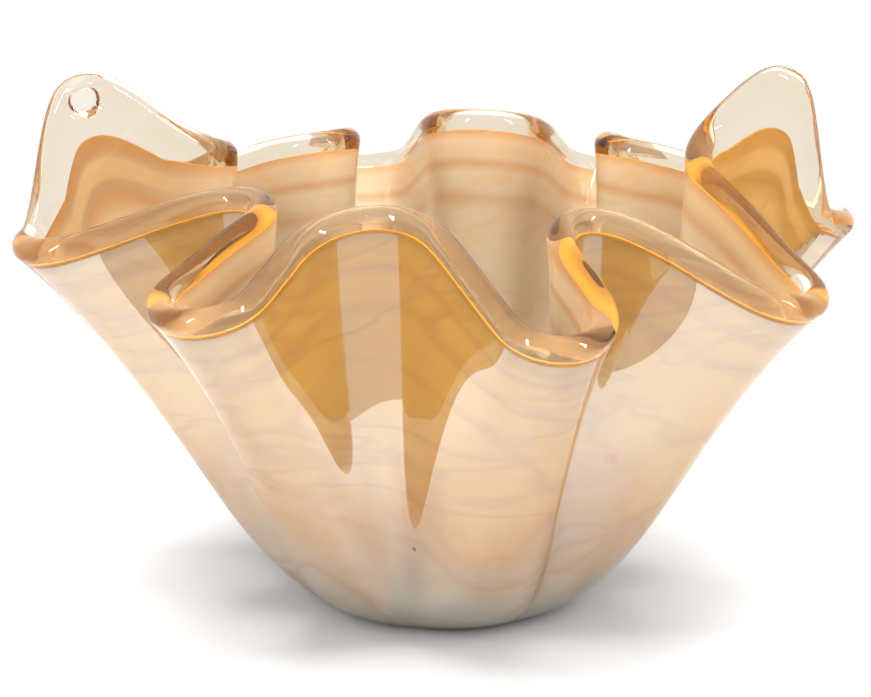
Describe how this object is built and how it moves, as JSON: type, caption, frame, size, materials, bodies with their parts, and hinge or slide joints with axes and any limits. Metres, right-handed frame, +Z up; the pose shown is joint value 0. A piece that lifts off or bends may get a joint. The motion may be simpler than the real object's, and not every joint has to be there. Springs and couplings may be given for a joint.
{
  "type": "art glass bowl",
  "caption": "Free-standing blown glass bowl with a deeply folded rim, drooping lobes, two tall pulled points, and an amber and cream layer between clear glass.",
  "frame": {"origin": "middle of the flat foot, on the table", "axes": "+Z up out of the bowl, +X towards the right horn, +Y away from the viewer of the pictured side"},
  "size_m": [0.3989, 0.3716, 0.2594],
  "materials": {
    "clear_casing": "fire-polished clear glass with a faint amber tint and thin lustre",
    "amber_colour": "streaked translucent amber and cream glass",
    "clear_lining": "fire-polished clear glass",
    "clear_lip": "fire-polished clear glass, rounded lip"
  },
  "bodies": {
    "root": {"outer_casing": "clear_casing", "colour_layer": "amber_colour", "inner_lining": "clear_lining", "lip_wrap": "clear_lip"}
  },
  "joints": []
}
